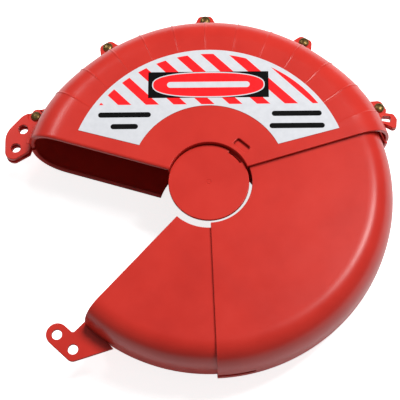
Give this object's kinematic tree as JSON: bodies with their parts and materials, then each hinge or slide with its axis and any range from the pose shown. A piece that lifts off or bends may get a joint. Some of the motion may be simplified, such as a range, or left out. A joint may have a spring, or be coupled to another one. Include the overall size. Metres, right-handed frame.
{
  "type": "gate valve handwheel lockout cover",
  "caption": "Round red lockout cover for a valve handwheel: nested C-section sectors turn about the hub to close round the wheel, and their padlock ears meet.",
  "frame": {"origin": "on the turning axis, in the front face of the centre disc, with the cover lying on its back", "axes": "+Z points out of the labelled front along the turning axis; +Y points to the middle of the fixed sector; +X points to its right end, seen from the front"},
  "size_m": [0.3983, 0.3843, 0.0884],
  "materials": {
    "red_plastic": "semi-gloss moulded red polypropylene",
    "brass": "aged satin brass",
    "label": "gloss printed film"
  },
  "bodies": {
    "fixed_sector": {"outer_front_shell": "red_plastic", "outer_back_shell": "red_plastic", "safety_label": "label", "brass_rivet_1": "brass", "brass_rivet_2": "brass", "brass_rivet_3": "brass", "brass_rivet_4": "brass", "brass_rivet_5": "brass"},
    "centre_disc": {"centre_disc": "red_plastic"},
    "middle_sector": {"middle_front_shell": "red_plastic", "middle_back_shell": "red_plastic"},
    "inner_sector": {"inner_front_shell": "red_plastic", "inner_back_shell": "red_plastic"}
  },
  "joints": [
    {"name": "middle_turn", "type": "hinge", "parent": "fixed_sector", "child": "middle_sector", "pos_m": [0, 0, -0.039], "axis": [0, 0, 1], "range_deg": [0, 99.6]},
    {"name": "inner_turn", "type": "hinge", "parent": "middle_sector", "child": "inner_sector", "pos_m": [0, 0, -0.039], "axis": [0, 0, 1], "range_deg": [-65, 44.5]},
    {"name": "disc_lift", "type": "slide", "parent": "fixed_sector", "child": "centre_disc", "axis": [0, 0, 1], "range_m": [0, 0.025]}
  ]
}
